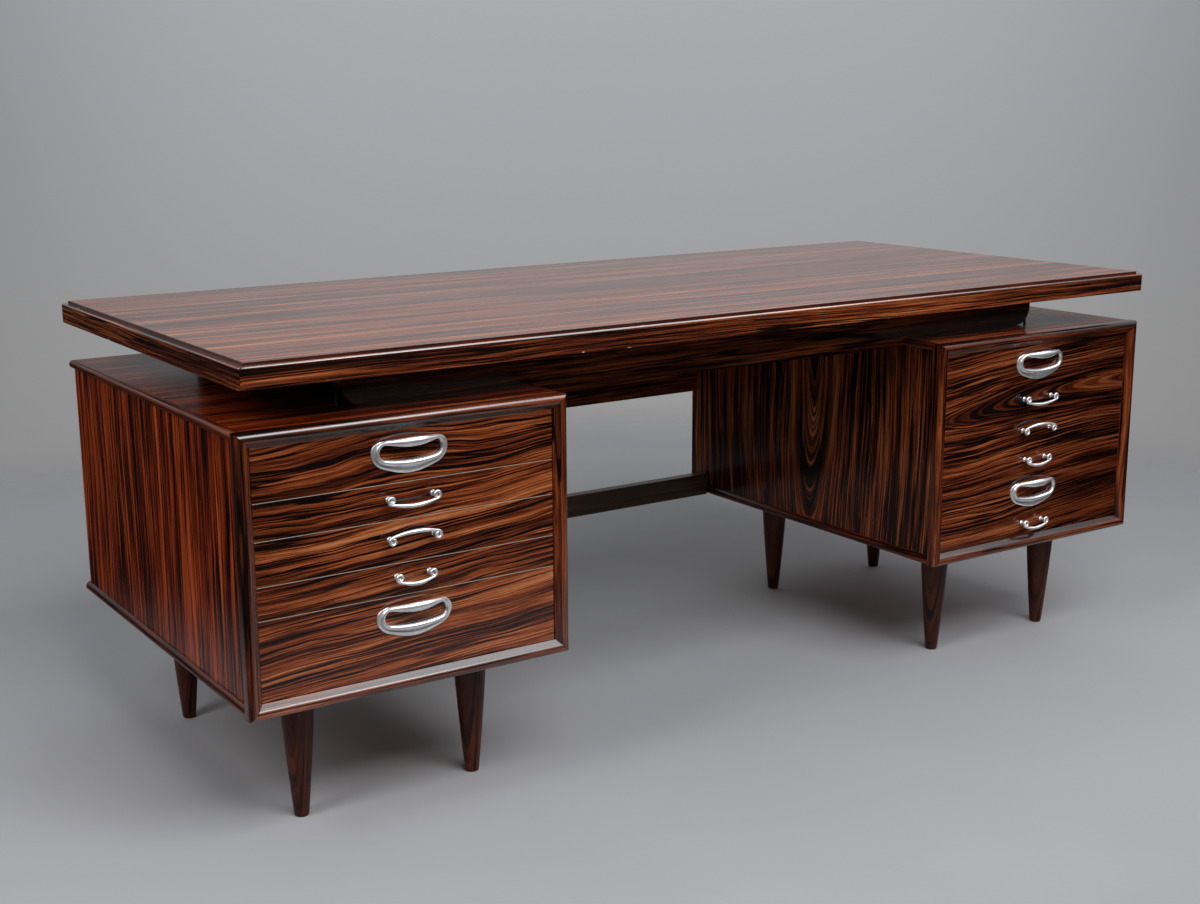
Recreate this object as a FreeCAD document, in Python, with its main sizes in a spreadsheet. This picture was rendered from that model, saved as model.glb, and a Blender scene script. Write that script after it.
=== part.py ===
"""Double pedestal desk with a desktop that floats above two cases of drawers.

Lengths are millimetres. The origin is on the floor under the middle of the desktop.
X runs along the desk, the drawer fronts face -Y and Z points up.
"""
import FreeCAD, Part
import math
import os
import re
import Sketcher

Vector = FreeCAD.Vector
Rotation = FreeCAD.Rotation

# Every size that can be set by itself, with the name it has in the spreadsheet.
SIZES = {
    # Desktop
    "desk_height": 750,
    "top_length": 1920,
    "top_depth": 840,
    "field_rise": 5,
    "field_arris": 1.2,
    "lip_height": 33,
    "lip_width": 11,
    "lip_corner_radius": 10,
    "lip_edge_radius": 3,
    # Beams and rails under the desktop
    "float_gap": 64,
    "beam_length": 1510,
    "beam_thickness": 28,
    "beam_setback": 112,
    "rear_beam_inset": 67,
    "beam_drop": 14,
    "beam_drop_clearance": 0.5,
    "beam_end_radius": 36,
    "rail_thickness": 28,
    "rail_height": 52,
    "rail_inset": 43,
    # Cases
    "case_span": 1930,
    "case_width": 552,
    "case_depth": 785,
    "case_setback": 10,
    "case_overhang": 7,
    "case_top_thickness": 14,
    "case_bottom_thickness": 18,
    "side_thickness": 16,
    "back_thickness": 10,
    # Moulding round the drawers
    "frame_depth": 22,
    "frame_inner_depth": 12,
    "frame_crest": 10,
    "frame_inner_round": 8,
    "frame_outer_round": 8,
    # Kneehole
    "modesty_height": 186,
    "modesty_thickness": 18,
    "stretcher_height": 47,
    "stretcher_thickness": 22,
    "stretcher_setback": 44,
    "tenon_length": 10,
    "tenon_shoulder": 4,
    # Legs
    "leg_height": 219,
    "leg_top_diameter": 58,
    "leg_foot_diameter": 23,
    "leg_swell": 1.2,
    "leg_foot_round": 3,
    "leg_side_inset": 122,
    "leg_front_inset": 120,
    "leg_back_inset": 165,
    # Drawers, numbered from the top: their fronts share the opening in proportion to these heights
    "drawer_1_height": 81.5,
    "drawer_2_height": 57,
    "drawer_3_height": 68,
    "drawer_4_height": 51,
    "drawer_5_height": 81,
    "drawer_6_height": 44.5,
    "front_recess": 12,
    "front_thickness": 18,
    "front_gap": 1.4,
    "front_side_gap": 1,
    "box_length": 700,
    "box_side_thickness": 12,
    "box_side_gap": 1.5,
    "box_foot": 6,
    "box_head": 9,
    "bottom_thickness": 5,
    "bottom_height": 6,
    "bottom_groove": 4,
    "runner_height": 8,
    "runner_projection": 6.5,
    "runner_clearance": 0.3,
    # Ring pulls
    "ring_width": 124,
    "ring_height": 58,
    "ring_projection": 21,
    "ring_flange": 16,
    "ring_shoulder": 13,
    "ring_neck": 9,
    "ring_grip": 15,
    "ring_section_depth": 12,
    "ring_rim_height": 8,
    # Bow pulls
    "bow_pull_rise": 4,
    "bow_width": 92,
    "short_bow_width": 72,
    "bow_rise": 5,
    "bow_bar_diameter": 6,
    "bow_standoff": 15,
    "scroll_diameter": 16.5,
    "scroll_wire": 5,
    "scroll_turn": 300,
    "post_diameter": 8,
    # Fasteners
    "pull_screw_diameter": 4,
    "pull_screw_head": 8,
    "pull_screw_bite": 5,
    "screw_diameter": 5,
    "screw_head_diameter": 9,
    "screw_head_height": 3,
    "screw_bite": 20,
    "beam_screw_spacing": 137,
    "top_screw_spacing": 168,
    "bolt_diameter": 8,
    "bolt_in_case": 14,
    "bolt_in_leg": 32,
    "hole_clearance": 0.4,
}

# Places and lengths that follow from the sizes above, for the left case unless they say otherwise.
PLACES = {
    "lip_top": "desk_height - field_rise",
    "top_underside": "lip_top - lip_height",
    "top_front": "-top_depth / 2",
    "case_top": "top_underside - float_gap",
    "case_roof": "case_top - case_top_thickness",
    "case_floor": "leg_height + case_bottom_thickness",
    "case_left": "-case_span / 2",
    "case_right": "case_left + case_width",
    "case_middle": "case_left + case_width / 2",
    "case_front": "top_front + case_setback",
    "case_back": "case_front + case_depth",
    "panel_front": "case_front + frame_depth",
    "panel_back": "case_back - case_overhang",
    "panel_height": "case_roof - case_floor",
    "frame_width": "case_overhang + side_thickness",
    "opening_left": "case_left + frame_width",
    "opening_right": "case_right - frame_width",
    "opening_width": "case_width - 2 * frame_width",
    "opening_bottom": "leg_height + frame_width",
    "opening_top": "case_top - frame_width",
    "knee_half": "-case_right",
    "front_face": "case_front + front_recess",
    "front_back": "front_face + front_thickness",
    "beam_front": "top_front + beam_setback",
    "beam_back": "case_back - rear_beam_inset",
    "rail_front": "beam_front + beam_thickness",
    "rail_back": "beam_back - beam_thickness",
    "rail_middle": "(rail_front + rail_back) / 2",
    "rail_outer": "beam_length / 2 - rail_inset",
    "rail_bottom": "top_underside - rail_height",
    "stretcher_front": "panel_back - stretcher_setback - stretcher_thickness",
    "tenon_bottom": "case_floor + tenon_shoulder",
    "tenon_height": "leg_height + stretcher_height - case_floor - 2 * tenon_shoulder",
    "groove_depth": "runner_projection - box_side_gap + runner_clearance",
    "drawer_heights": "drawer_1_height + drawer_2_height + drawer_3_height"
                      " + drawer_4_height + drawer_5_height + drawer_6_height",
    "drawer_share": "(opening_top - opening_bottom) / drawer_heights",
    "seam_1": "opening_top - drawer_1_height * drawer_share",
    "seam_2": "seam_1 - drawer_2_height * drawer_share",
    "seam_3": "seam_2 - drawer_3_height * drawer_share",
    "seam_4": "seam_3 - drawer_4_height * drawer_share",
    "seam_5": "seam_4 - drawer_5_height * drawer_share",
}

# Lower and upper limit of each drawer, the height of its pull, and the kind of pull.
# A bow pull named down hangs its bow below the scrolls, one named up carries it above them,
# and one named short hangs like the first but is narrower.
# Bow pulls sit a little above the middle of their drawers.
RING_5 = "(seam_5 + seam_4) / 2"
LEFT_DRAWERS = [
    ("seam_1", "opening_top", "(seam_1 + opening_top) / 2", "ring"),
    ("seam_2", "seam_1", "(seam_2 + seam_1) / 2 + bow_pull_rise", "down"),
    ("seam_3", "seam_2", "(seam_3 + seam_2) / 2 + bow_pull_rise", "up"),
    ("seam_4", "seam_3", "(seam_4 + seam_3) / 2 + bow_pull_rise", "short"),
    ("opening_bottom", "seam_4", RING_5, "ring"),
]
RIGHT_DRAWERS = LEFT_DRAWERS[:4] + [
    ("seam_5", "seam_4", RING_5, "ring"),
    ("opening_bottom", "seam_5", "(opening_bottom + seam_5) / 2 + bow_pull_rise", "short"),
]

doc = FreeCAD.newDocument("double_pedestal_desk")
sheet = doc.addObject("Spreadsheet::Sheet", "Sizes")
for row, (alias, number) in enumerate(SIZES.items(), start=1):
    sheet.set(f"A{row}", alias)
    sheet.set(f"B{row}", str(number))
    sheet.setAlias(f"B{row}", alias)
doc.recompute()

sub_parts = []


def full(expression):
    """Writes out a length in terms of the spreadsheet's aliases."""
    def swap(match):
        name = match.group()
        if name in SIZES:
            return f"Sizes.{name}"
        if name in PLACES:
            return f"({full(PLACES[name])})"
        return name
    return re.sub(r"[a-z][a-z_0-9]*", swap, str(expression))


def value(expression):
    """The length in millimetres that an expression stands for."""
    return float(sheet.evalExpression(full(expression)))


def bind(thing, **expressions):
    """Ties properties of a document object to the spreadsheet."""
    for name, expression in expressions.items():
        thing.setExpression(name, full(expression))
    return thing


def place(thing, x="0", y="0", z="0"):
    for axis, expression in zip("xyz", (x, y, z)):
        thing.setExpression(f"Placement.Base.{axis}", full(expression))
    return thing


def sub_part(thing, label):
    """Marks an object as a finished piece that gets a file of its own."""
    thing.Label = label
    sub_parts.append(thing)
    return thing


def box(name, x, y, z, length, width, height):
    block = doc.addObject("Part::Box", name)
    bind(block, Length=length, Width=width, Height=height)
    return place(block, x, y, z)


def rod(name, diameter, length, x, y, z, along="z"):
    """A cylinder that starts at a point and runs along +X, +Y or +Z."""
    turn = {"x": Rotation(Vector(0, 1, 0), 90), "y": Rotation(Vector(1, 0, 0), -90), "z": Rotation()}
    cylinder = doc.addObject("Part::Cylinder", name)
    cylinder.Placement = FreeCAD.Placement(Vector(), turn[along])
    bind(cylinder, Radius=f"({diameter}) / 2", Height=length)
    return place(cylinder, x, y, z)


def fuse(name, things):
    joined = doc.addObject("Part::MultiFuse", name)
    joined.Shapes = things
    return joined


def cut(name, base, tools):
    tool = tools[0] if len(tools) == 1 else fuse(f"{name}_tools", tools)
    remainder = doc.addObject("Part::Cut", name)
    remainder.Base = base
    remainder.Tool = tool
    return remainder


def common(name, first, second):
    shared = doc.addObject("Part::Common", name)
    shared.Base = first
    shared.Tool = second
    return shared


def group(name, things):
    """Separate solids that share one file."""
    compound = doc.addObject("Part::Compound", name)
    compound.Links = things
    return compound


def mirrored(name, source):
    """The right-hand copy of a piece of the left case."""
    copy = doc.addObject("Part::Mirroring", name)
    copy.Source = source
    copy.Base = Vector(0, 0, 0)
    copy.Normal = Vector(1, 0, 0)
    return copy


def sketch_on(body, role, corners, arcs=None):
    """A closed outline on an origin plane.

    arcs gives the radius of any side that isn't straight, and how far it swells from its chord.
    """
    arcs = arcs or {}
    plane = next(feature for feature in body.Origin.OriginFeatures if feature.Role == role)
    sketch = body.newObject("Sketcher::SketchObject", f"{body.Name}_outline")
    sketch.AttachmentSupport = (plane, [""])
    sketch.MapMode = "FlatFace"
    points = [Vector(value(x), value(y), 0) for x, y in corners]
    count = len(points)
    for index, start in enumerate(points):
        end = points[(index + 1) % count]
        if index in arcs:
            swell = value(arcs[index][1])
            along = (end - start).normalize()
            middle = (start + end) * 0.5 + Vector(along.y, -along.x, 0) * swell
            sketch.addGeometry(Part.Arc(start, middle, end), False)
        else:
            sketch.addGeometry(Part.LineSegment(start, end), False)
    for index in range(count):
        sketch.addConstraint(Sketcher.Constraint("Coincident", index, 2, (index + 1) % count, 1))
    for index, corner in enumerate(corners):
        for kind, expression in zip(("DistanceX", "DistanceY"), corner):
            held = Sketcher.Constraint(kind, -1, 1, index, 1, value(expression))
            number = sketch.addConstraint(held)
            sketch.setExpression(f"Constraints[{number}]", full(expression))
    for index, (radius, _) in arcs.items():
        number = sketch.addConstraint(Sketcher.Constraint("Radius", index, value(radius)))
        sketch.setExpression(f"Constraints[{number}]", full(radius))
    return sketch


def padded(name, role, corners, length, reverse=False):
    body = doc.addObject("PartDesign::Body", name)
    pad = body.newObject("PartDesign::Pad", f"{name}_pad")
    pad.Profile = sketch_on(body, role, corners)
    pad.Reversed = reverse
    bind(pad, Length=length)
    doc.recompute()
    return body


def rounded(body, radius, wanted):
    """Rounds the edges of a body whose middle point passes a test."""
    last = body.Tip
    names = []
    for number, edge in enumerate(last.Shape.Edges, start=1):
        middle = edge.valueAt((edge.FirstParameter + edge.LastParameter) / 2)
        if wanted(middle, edge):
            names.append(f"Edge{number}")
    if not names:
        raise RuntimeError(f"no edge to round on {body.Name}")
    fillet = body.newObject("PartDesign::Fillet", f"{body.Name}_round")
    fillet.Base = (last, names)
    bind(fillet, Radius=radius)
    body.Tip = fillet
    doc.recompute()
    return body


def near(first, second):
    return abs(first - second) < 0.01


def mitred(name, turn, wide, narrow, across, thick):
    """A strip that narrows at forty-five degrees from its outer edge to its inner one.

    wide and narrow hold both ends of the strip at the start and at the finish of across.
    """
    wedge = doc.addObject("Part::Wedge", name)
    wedge.Placement = FreeCAD.Placement(Vector(), turn)
    bind(wedge, Xmin=wide[0], Xmax=wide[1], X2min=narrow[0], X2max=narrow[1])
    bind(wedge, Ymin=across[0], Ymax=across[1])
    bind(wedge, Zmin=thick[0], Zmax=thick[1], Z2min=thick[0], Z2max=thick[1])
    return wedge


# Desktop: a board with a raised field, and a rounded lip in four mitred strips.
def desktop():
    half_length = "top_length / 2"
    half_depth = "top_depth / 2"
    field_x = "(top_length / 2 - lip_width)"
    field_y = "(top_depth / 2 - lip_width)"
    corners = [(f"-{field_x}", f"-{field_y}"), (field_x, f"-{field_y}"),
               (field_x, field_y), (f"-{field_x}", field_y)]
    panel = padded("panel_body", "XY_Plane", corners, "desk_height - top_underside")
    height = value("desk_height - top_underside")
    rounded(panel, "field_arris", lambda middle, edge: near(middle.z, height))
    place(panel, z="top_underside")
    pilot = "screw_diameter + hole_clearance"
    depth = "screw_bite + hole_clearance"
    holes = [rod("panel_hole", pilot, depth, x, y, "top_underside") for x, y in top_screw_spots()]
    sub_part(cut("panel_drilled", panel, holes), "desktop_panel")

    outline = [(f"-{half_length}", f"-{half_depth}"), (half_length, f"-{half_depth}"),
               (half_length, half_depth), (f"-{half_length}", half_depth)]
    slab = padded("lip_body", "XY_Plane", outline, "lip_height")
    lip_height = value("lip_height")
    rounded(slab, "lip_corner_radius", lambda middle, edge: near(middle.z, lip_height / 2))
    rounded(slab, "lip_edge_radius", lambda middle, edge: near(middle.z, lip_height))
    place(slab, z="top_underside")
    upright = ("top_underside", "lip_top")
    overturned = ("-lip_top", "-top_underside")
    swap = Rotation(Vector(1, 1, 0), 180)
    long_side = (f"-{half_length}", half_length)
    long_inside = (f"-{field_x}", field_x)
    short_side = (f"-{half_depth}", half_depth)
    short_inside = (f"-{field_y}", field_y)
    strips = [
        mitred("lip_front", Rotation(), long_side, long_inside, (f"-{half_depth}", f"-{field_y}"), upright),
        mitred("lip_back", Rotation(), long_inside, long_side, (field_y, half_depth), upright),
        mitred("lip_left", swap, short_side, short_inside, (f"-{half_length}", f"-{field_x}"), overturned),
        mitred("lip_right", swap, short_inside, short_side, (field_x, half_length), overturned),
    ]
    pieces = [common(f"{strip.Name}_strip", slab, strip) for strip in strips]
    sub_part(group("lipping", pieces), "desktop_lipping")


# Beams: stand on the cases, drop into the kneehole between them and carry the cross rails.
def beam_screw_spots():
    """Screws from inside the left case into each beam."""
    spread = "beam_screw_spacing / 2"
    rows = ("beam_front + beam_thickness / 2", "beam_back - beam_thickness / 2")
    return [(f"case_middle + {sign} * {spread}", row) for sign in (-1, 1) for row in rows]


def top_screw_spots():
    """Screws through both cross rails into the desktop."""
    x = "(rail_outer - rail_thickness / 2)"
    return [(f"{sign} * {x}", f"rail_middle + {row} * top_screw_spacing")
            for sign in (-1, 1) for row in (-1, 0, 1)]


def beam(label, y):
    half = "beam_length / 2"
    notch = "knee_half - beam_drop_clearance"
    low = "case_top - beam_drop"
    right = [(half, "top_underside"), (half, "case_top"), (notch, "case_top"), (notch, low)]
    left = [(f"-({x})", z) for x, z in reversed(right)]
    body = padded(f"{label}_body", "XZ_Plane", right + left, "beam_thickness", reverse=True)
    end, floor = value(half), value("case_top")
    rounded(body, "beam_end_radius", lambda middle, edge: near(abs(middle.x), end) and near(middle.z, floor)
            and near(edge.BoundBox.XLength, 0) and near(edge.BoundBox.ZLength, 0))
    place(body, y=y)
    middle = f"{y} + beam_thickness / 2"
    pilot = "screw_diameter + hole_clearance"
    depth = "screw_bite + hole_clearance"
    holes = []
    for x, row in beam_screw_spots():
        if near(value(row), value(middle)):
            for side in (1, -1):
                holes.append(rod(f"{label}_hole", pilot, depth, f"{side} * ({x})", row, "case_top"))
    sub_part(cut(f"{label}_drilled", body, holes), label)


def wood_screw(name, x, y, z, through):
    """A screw that points up, with its head under the face at height z."""
    head = rod(f"{name}_head", "screw_head_diameter", "screw_head_height", x, y, f"{z} - screw_head_height")
    shank = rod(f"{name}_shank", "screw_diameter", f"{through} + screw_bite", x, y, z)
    return fuse(name, [head, shank])


def carriers():
    beam("front_beam", "beam_front")
    beam("rear_beam", "rail_back")
    pilot = "screw_diameter + hole_clearance"
    for label, x, sign in (("left", "-rail_outer", -1), ("right", "rail_outer - rail_thickness", 1)):
        rail = box(f"{label}_rail", x, "rail_front", "rail_bottom",
                   "rail_thickness", "rail_back - rail_front", "rail_height")
        spots = [spot for spot in top_screw_spots() if spot[0].startswith(f"{sign} ")]
        holes = [rod(f"{label}_rail_hole", pilot, "rail_height", px, py, "rail_bottom") for px, py in spots]
        sub_part(cut(f"{label}_rail_drilled", rail, holes), f"{label}_cross_rail")
    screws = [wood_screw("top_screw", x, y, "rail_bottom", "rail_height") for x, y in top_screw_spots()]
    sub_part(group("top_screw_set", screws), "top_screws")
    screws = []
    for x, y in beam_screw_spots():
        for side in (1, -1):
            screws.append(wood_screw("beam_screw", f"{side} * ({x})", y, "case_roof", "case_top_thickness"))
    sub_part(group("beam_screw_set", screws), "beam_screws")


# Kneehole: a modesty board at the back, and a stretcher tenoned into the inner sides.
def kneehole():
    face = "(knee_half + case_overhang)"
    board = box("modesty", f"-{face}", "panel_back - modesty_thickness", "case_roof - modesty_height",
                f"2 * {face}", "modesty_thickness", "modesty_height")
    sub_part(board, "modesty_board")
    rail = box("stretcher_rail", "-knee_half", "stretcher_front", "leg_height",
               "2 * knee_half", "stretcher_thickness", "stretcher_height")
    reach = f"({face} + tenon_length)"
    tenon = box("stretcher_tenon", f"-{reach}", "stretcher_front + tenon_shoulder", "tenon_bottom",
                f"2 * {reach}", "stretcher_thickness - 2 * tenon_shoulder", "tenon_height")
    sub_part(fuse("stretcher_piece", [rail, tenon]), "stretcher")


# Cases: boards with half-round side edges above and below two side panels and a back.
def nosed_board(name, z, thickness):
    length = "case_back - panel_front"
    half = f"{thickness} / 2"
    flat = box(f"{name}_flat", f"case_left + {half}", "panel_front", z,
               f"case_width - {thickness}", length, thickness)
    noses = [rod(f"{name}_nose", thickness, length, x, "panel_front", f"{z} + {half}", "y")
             for x in (f"case_left + {half}", f"case_right - {half}")]
    board = fuse(f"{name}_board", [flat] + noses)
    board.Refine = True
    return board


def leg_spots():
    for x in ("case_left + leg_side_inset", "case_right - leg_side_inset"):
        for y in ("case_front + leg_front_inset", "case_back - leg_back_inset"):
            yield x, y


def leg(x, y):
    body = doc.addObject("PartDesign::Body", "leg_body")
    foot, top = "leg_foot_diameter / 2", "leg_top_diameter / 2"
    corners = [("0", "0"), (foot, "0"), (top, "leg_height"), ("0", "leg_height")]
    chord = "(leg_height * leg_height + ((leg_top_diameter - leg_foot_diameter) / 2) ^ 2)"
    swell = (f"{chord} / (8 * leg_swell) + leg_swell / 2", "leg_swell")
    turning = body.newObject("PartDesign::Revolution", "leg_turning")
    turning.Profile = sketch_on(body, "XZ_Plane", corners, {1: swell})
    turning.ReferenceAxis = (turning.Profile[0], ["V_Axis"])
    turning.Angle = 360
    doc.recompute()
    around = value("leg_foot_diameter")
    rounded(body, "leg_foot_round", lambda middle, edge: near(middle.z, 0) and edge.Length > around)
    place(body, x, y)
    size = "bolt_diameter + hole_clearance"
    depth = "bolt_in_leg + hole_clearance"
    return cut("leg_drilled", body, [rod("leg_hole", size, depth, x, y, f"leg_height - ({depth})")])


def face_frame():
    """Four mitred lengths of moulding, highest along a crest and lower at the drawers."""
    rail_turn = Rotation(Vector(1, 0, 0), 90)
    stile_turn = Rotation(Vector(1, 1, 1), 240)
    wide_x, narrow_x = ("case_left", "case_right"), ("opening_left", "opening_right")
    wide_z, narrow_z = ("leg_height", "case_top"), ("opening_bottom", "opening_top")
    rail_depth = ("-(panel_front)", "-(case_front)")
    stile_depth = ("case_front", "panel_front")
    members = [
        ("top", "YZ_Plane", "opening_top", "case_top", 1, rail_turn, narrow_x, wide_x, rail_depth),
        ("bottom", "YZ_Plane", "opening_bottom", "leg_height", -1, rail_turn, wide_x, narrow_x, rail_depth),
        ("left", "XY_Plane", "opening_left", "case_left", -1, stile_turn, wide_z, narrow_z, stile_depth),
        ("right", "XY_Plane", "opening_right", "case_right", 1, stile_turn, narrow_z, wide_z, stile_depth),
    ]
    pieces = []
    for name, plane, inner, outer, sign, turn, start, finish, depth in members:
        crest = f"{inner} + {sign} * frame_crest"
        profile = [("panel_front", inner), ("panel_front - frame_inner_depth", inner),
                   ("case_front", crest), ("case_front", outer), ("panel_front", outer)]
        if plane == "XY_Plane":
            profile = [(across, forward) for forward, across in profile]
        run = "case_width" if plane == "YZ_Plane" else "case_top - leg_height"
        bar = padded(f"{name}_moulding", plane, profile, run)
        forward = value("case_front")
        height = (lambda point: point.z) if plane == "YZ_Plane" else (lambda point: point.x)
        lengthwise = value(run)

        def edge_at(level):
            return lambda middle, edge: (near(edge.Length, lengthwise) and near(middle.y, forward)
                                         and near(height(middle), value(level)))
        rounded(bar, "frame_outer_round", edge_at(outer))
        rounded(bar, "frame_inner_round", edge_at(crest))
        if plane == "YZ_Plane":
            place(bar, x="case_left")
        else:
            place(bar, z="leg_height")
        across = (inner, outer) if sign > 0 else (outer, inner)
        strip = mitred(f"{name}_mitre", turn, start, finish, across, depth)
        pieces.append(common(f"{name}_member", bar, strip))
    return group("frame_members", pieces)


def case():
    """The left case, and the right one as its mirror image."""
    hole = "screw_diameter + hole_clearance"
    holes = [rod("roof_hole", hole, "case_top_thickness", x, y, "case_roof") for x, y in beam_screw_spots()]
    roof = cut("roof", nosed_board("roof", "case_roof", "case_top_thickness"), holes)
    size = "bolt_diameter + hole_clearance"
    depth = "bolt_in_case + hole_clearance"
    holes = [rod("floor_hole", size, depth, x, y, "leg_height") for x, y in leg_spots()]
    floor = cut("floor", nosed_board("floor", "leg_height", "case_bottom_thickness"), holes)
    run = "panel_back - panel_front"
    outer = box("outer", "case_left + case_overhang", "panel_front", "case_floor",
                "side_thickness", run, "panel_height")
    blank = box("inner", "opening_right", "panel_front", "case_floor",
                "side_thickness", run, "panel_height")
    mortise = box("mortise", "opening_right + side_thickness - tenon_length",
                  "stretcher_front + tenon_shoulder", "tenon_bottom",
                  "tenon_length", "stretcher_thickness - 2 * tenon_shoulder", "tenon_height")
    inner = cut("inner_mortised", blank, [mortise])
    back = box("back", "opening_left", "panel_back - back_thickness", "case_floor",
               "opening_width", "back_thickness", "panel_height")
    legs = group("leg_set", [leg(x, y) for x, y in leg_spots()])
    pieces = [(roof, "case_top"), (floor, "case_bottom"), (outer, "outer_side"), (inner, "inner_side"),
              (back, "case_back"), (face_frame(), "face_frame"), (legs, "legs")]
    for piece, name in pieces:
        sub_part(piece, f"left_{name}")
        sub_part(mirrored(f"{name}_copy", piece), f"right_{name}")
    bolts = []
    for x, y in leg_spots():
        for side in (1, -1):
            bolts.append(rod("leg_bolt", "bolt_diameter", "bolt_in_case + bolt_in_leg",
                             f"{side} * ({x})", y, "leg_height - bolt_in_leg"))
    sub_part(group("bolt_set", bolts), "leg_bolts")


# Pulls: drawn about a point on the drawer front and set in place by their drawer.
# The powers square off the path of a ring pull, where 1 would leave it an ellipse.
RING_TOP_POWER = 0.72
RING_RIM_POWER = 0.9


def screw_reach(kind):
    """Distance from the middle of a pull to each of its screws."""
    if kind == "ring":
        return "(ring_width - ring_shoulder) / 2"
    width = "short_bow_width" if kind == "short" else "bow_width"
    return f"{width} / 2 - scroll_diameter / 2"


def ring_section(angle):
    """One cross-section of a ring pull, as a closed curve round the path of the ring.

    The angle runs from 270 degrees at the bottom, through 180 at the left, to 90 at the top.
    """
    turn = math.radians(angle)
    lift = max(0.0, math.sin(turn))
    ease = lift * lift * (3 - 2 * lift)
    flange, shoulder = value("ring_flange"), value("ring_shoulder")
    neck, grip = value("ring_neck"), value("ring_grip")
    if angle >= 180:
        breadth = shoulder + (flange - shoulder) * (angle - 180) / 90
    elif angle >= 135:
        breadth = neck + (shoulder - neck) * (angle - 135) / 45
    else:
        breadth = neck + (grip - neck) * math.sin(math.radians((135 - angle) * 2))
    rim, depth = value("ring_rim_height"), value("ring_section_depth")
    raised = rim - depth / 2 + (value("ring_projection") - rim) * ease
    half_x = (value("ring_width") - shoulder) / 2
    half_z = (value("ring_height") - (grip if angle < 180 else flange)) / 2
    shape = RING_TOP_POWER if angle < 180 else RING_RIM_POWER

    def path(at):
        cosine, sine = math.cos(at), math.sin(at)
        x = math.copysign(abs(cosine) ** shape, cosine)
        z = math.copysign(abs(sine) ** shape, sine)
        return Vector(half_x * x, 0, half_z * z)
    if angle in (90, 270):
        outward = Vector(0, 0, math.sin(turn))
    elif angle == 180:
        outward = Vector(-1, 0, 0)
    else:
        tangent = path(turn + 0.001) - path(turn - 0.001)
        outward = Vector(tangent.z, 0, -tangent.x).normalize()
    centre = path(turn) + Vector(0, -raised, 0)
    points = []
    for step in range(12):
        around = 2 * math.pi * step / 12
        reach = outward * (math.cos(around) * breadth / 2)
        points.append(centre + reach + Vector(0, -math.sin(around) * depth / 2, 0))
    edges = []
    for half in (points[:7], points[6:12] + points[:1]):
        curve = Part.BSplineCurve()
        curve.interpolate(Points=half, Parameters=[float(step) for step in range(7)])
        edges.append(curve.toShape())
    return Part.Wire(edges)


def screw_bore(root):
    """A blind hole into the back of a pull at one of its screws."""
    radius = value("pull_screw_diameter + hole_clearance") / 2
    return Part.makeCylinder(radius, value("pull_screw_bite + hole_clearance"), root, Vector(0, -1, 0))


def ring_casting():
    """A ring whose lower rim lies on the drawer and whose upper side stands out as a grip."""
    angles = (270, 240, 210, 180, 160, 143, 127, 112, 100, 90)
    across = Vector(1, 0, 0)
    sections = [ring_section(angle) for angle in angles]
    sections = [sections[1].mirror(Vector(), across)] + sections + [sections[-2].mirror(Vector(), across)]
    strip = Part.makeLoft(sections, True, False, False, 3)
    width, height, depth = value("ring_width"), value("ring_height"), 2 * value("ring_projection")
    left_side = Part.makeBox(width, 2 * depth, 2 * height, Vector(-width, -depth, -height))
    half = strip.common(left_side)
    whole = half.fuse(half.mirror(Vector(), across)).removeSplitter()
    behind = Part.makeBox(2 * width, depth, 2 * height, Vector(-width, 0, -height))
    reach = value(screw_reach("ring"))
    return whole.cut([behind] + [screw_bore(Vector(side * reach, 0, 0)) for side in (-1, 1)])


def bow_casting(kind):
    """A shallow bow whose ends curl round into scrolls, each on a post with a blind hole for its screw."""
    wire = value("scroll_wire") / 2
    eye = value("scroll_diameter") / 2 - wire
    out = value("bow_standoff")
    spread = value(screw_reach(kind))
    rise = value("bow_rise")
    sweep = (spread * spread + rise * rise) / (2 * rise)
    centre = Vector(0, -out, rise - sweep)
    axis = Vector(0, 1, 0)
    hubs = {side: Vector(side * spread, -out, 0) for side in (-1, 1)}
    outward = {side: (hub - centre).normalize() for side, hub in hubs.items()}
    ends = {side: hubs[side] + outward[side] * eye for side in hubs}

    def disc(radius, side):
        return Part.Face(Part.Wire([Part.makeCircle(radius, ends[side], axis.cross(outward[side]))]))
    arc = math.degrees(2 * math.atan2(spread, sweep - rise))
    bar = disc(value("bow_bar_diameter") / 2, -1).revolve(centre, axis, arc)
    pieces = []
    for side, hub in hubs.items():
        pieces.append(disc(wire, side).revolve(hub, axis, side * value("scroll_turn")))
        root = Vector(side * spread, 0, 0)
        post = Part.makeCylinder(value("post_diameter") / 2, out, root, Vector(0, -1, 0))
        pieces.append(post.cut(screw_bore(root)))
    return bar.fuse(pieces).removeSplitter()


def hung(casting):
    """The same pull with its bow below the scrolls."""
    return casting.rotated(Vector(0, 0, 0), Vector(0, 1, 0), 180)


CASTINGS = {
    "ring": ring_casting(),
    "up": bow_casting("up"),
    "down": hung(bow_casting("down")),
    "short": hung(bow_casting("short")),
}


def pull(name, kind, x, z):
    """A cast pull and the two screws that hold it through the drawer front."""
    casting = doc.addObject("Part::Feature", f"{name}_casting")
    casting.Shape = CASTINGS[kind]
    place(casting, x, "front_face", z)
    screws = []
    for side in (-1, 1):
        at = f"{x} + {side} * ({screw_reach(kind)})"
        shank = rod(f"{name}_shank", "pull_screw_diameter", "front_thickness + pull_screw_bite",
                    at, "front_face - pull_screw_bite", z, "y")
        head = rod(f"{name}_head", "pull_screw_head", "screw_head_height", at, "front_back", z, "y")
        screws.append(fuse(f"{name}_screw", [shank, head]))
    sub_part(group(f"{name}_set", [casting] + screws), name)


# Drawers: an inset front, and a box whose grooved sides hang on runners.
def groove_height(low, high):
    return f"({low} + box_foot + ({high} - ({low}) - box_foot - box_head) / 2)"


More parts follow.
